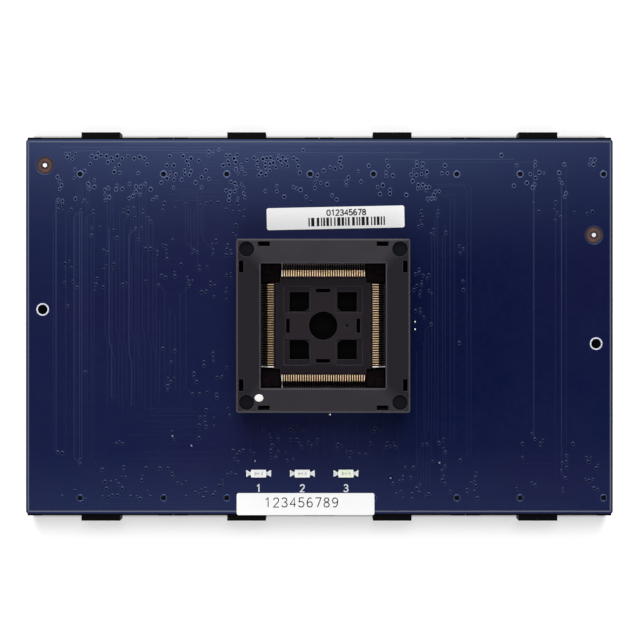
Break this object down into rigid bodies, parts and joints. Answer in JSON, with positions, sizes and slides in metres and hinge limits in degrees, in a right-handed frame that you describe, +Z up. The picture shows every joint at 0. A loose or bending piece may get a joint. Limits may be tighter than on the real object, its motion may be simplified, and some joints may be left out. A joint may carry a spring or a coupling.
{
  "type": "ic programming adapter",
  "caption": "Circuit board adapter with an open-top test socket for a flat leaded chip, indicators, and board-to-board connectors under both long edges.",
  "frame": {"origin": "middle of the board's outline, at the level of the connectors' lower faces", "axes": "+X along the board's long edge, +Y towards the edge behind the upper label, +Z up out of the socket"},
  "size_m": [0.127, 0.0846, 0.0241],
  "materials": {
    "solder_mask": "semi-gloss dark blue solder mask over fibreglass laminate",
    "tinned_pads": "tinned copper and solder",
    "connector_plastic": "matt black moulded plastic",
    "base_plastic": "black glass-filled moulded plastic",
    "nest_plastic": "dark grey glass-filled moulded plastic",
    "cover_plastic": "fine-grained dark grey glass-filled moulded plastic",
    "contact_gold": "gold-plated copper alloy",
    "spring_steel": "drawn spring wire",
    "indicator_white": "white moulded body",
    "indicator_lens": "clear epoxy",
    "label_paper": "white coated label stock"
  },
  "bodies": {
    "board": {"circuit_board": "solder_mask", "locating_hole_pads": "tinned_pads", "fiducial_pads": "tinned_pads", "socket_base": "base_plastic", "device_nest": "nest_plastic", "indicator_1": "indicator_white", "indicator_2": "indicator_white", "indicator_3": "indicator_white", "indicator_lenses": "indicator_lens", "indicator_solder": "tinned_pads", "upper_label": "label_paper", "lower_label": "label_paper", "connector_north_1": "connector_plastic", "connector_pins_north_1": "contact_gold", "connector_north_2": "connector_plastic", "connector_pins_north_2": "contact_gold", "connector_north_3": "connector_plastic", "connector_pins_north_3": "contact_gold", "connector_north_4": "connector_plastic", "connector_pins_north_4": "contact_gold", "connector_south_1": "connector_plastic", "connector_pins_south_1": "contact_gold", "connector_south_2": "connector_plastic", "connector_pins_south_2": "contact_gold", "connector_south_3": "connector_plastic", "connector_pins_south_3": "contact_gold", "connector_south_4": "connector_plastic", "connector_pins_south_4": "contact_gold", "contact_tails_east": "contact_gold", "contact_tails_north": "contact_gold", "contact_tails_west": "contact_gold", "contact_tails_south": "contact_gold", "return_spring_1": "spring_steel", "return_spring_2": "spring_steel", "return_spring_3": "spring_steel", "return_spring_4": "spring_steel"},
    "cover": {"socket_cover": "cover_plastic"},
    "contacts_east": {"contact_arms_east": "contact_gold"},
    "contacts_north": {"contact_arms_north": "contact_gold"},
    "contacts_west": {"contact_arms_west": "contact_gold"},
    "contacts_south": {"contact_arms_south": "contact_gold"}
  },
  "joints": [
    {"name": "cover_press", "type": "slide", "parent": "board", "child": "cover", "axis": [0, 0, -1], "range_m": [0, 0.0022], "stiffness_N_per_m": 1200, "springref_m": -0.003, "deforming": ["return_spring_1", "return_spring_2", "return_spring_3", "return_spring_4"]},
    {"name": "contacts_east_swing", "type": "hinge", "parent": "board", "child": "contacts_east", "pos_m": [0.0132, 0.0002, 0.01471], "axis": [0, 1, 0], "range_deg": [0, 28.9]},
    {"name": "contacts_north_swing", "type": "hinge", "parent": "board", "child": "contacts_north", "pos_m": [0.0008, 0.0126, 0.01471], "axis": [-1, 0, 0], "range_deg": [0, 28.9]},
    {"name": "contacts_west_swing", "type": "hinge", "parent": "board", "child": "contacts_west", "pos_m": [-0.0116, 0.0002, 0.01471], "axis": [0, -1, 0], "range_deg": [0, 28.9]},
    {"name": "contacts_south_swing", "type": "hinge", "parent": "board", "child": "contacts_south", "pos_m": [0.0008, -0.0122, 0.01471], "axis": [1, 0, 0], "range_deg": [0, 28.9]}
  ],
  "couplings": [
    {"joint": "contacts_east_swing", "follows": "cover_press", "rad_per_m": 227.68},
    {"joint": "contacts_north_swing", "follows": "cover_press", "rad_per_m": 227.68},
    {"joint": "contacts_west_swing", "follows": "cover_press", "rad_per_m": 227.68},
    {"joint": "contacts_south_swing", "follows": "cover_press", "rad_per_m": 227.68}
  ]
}
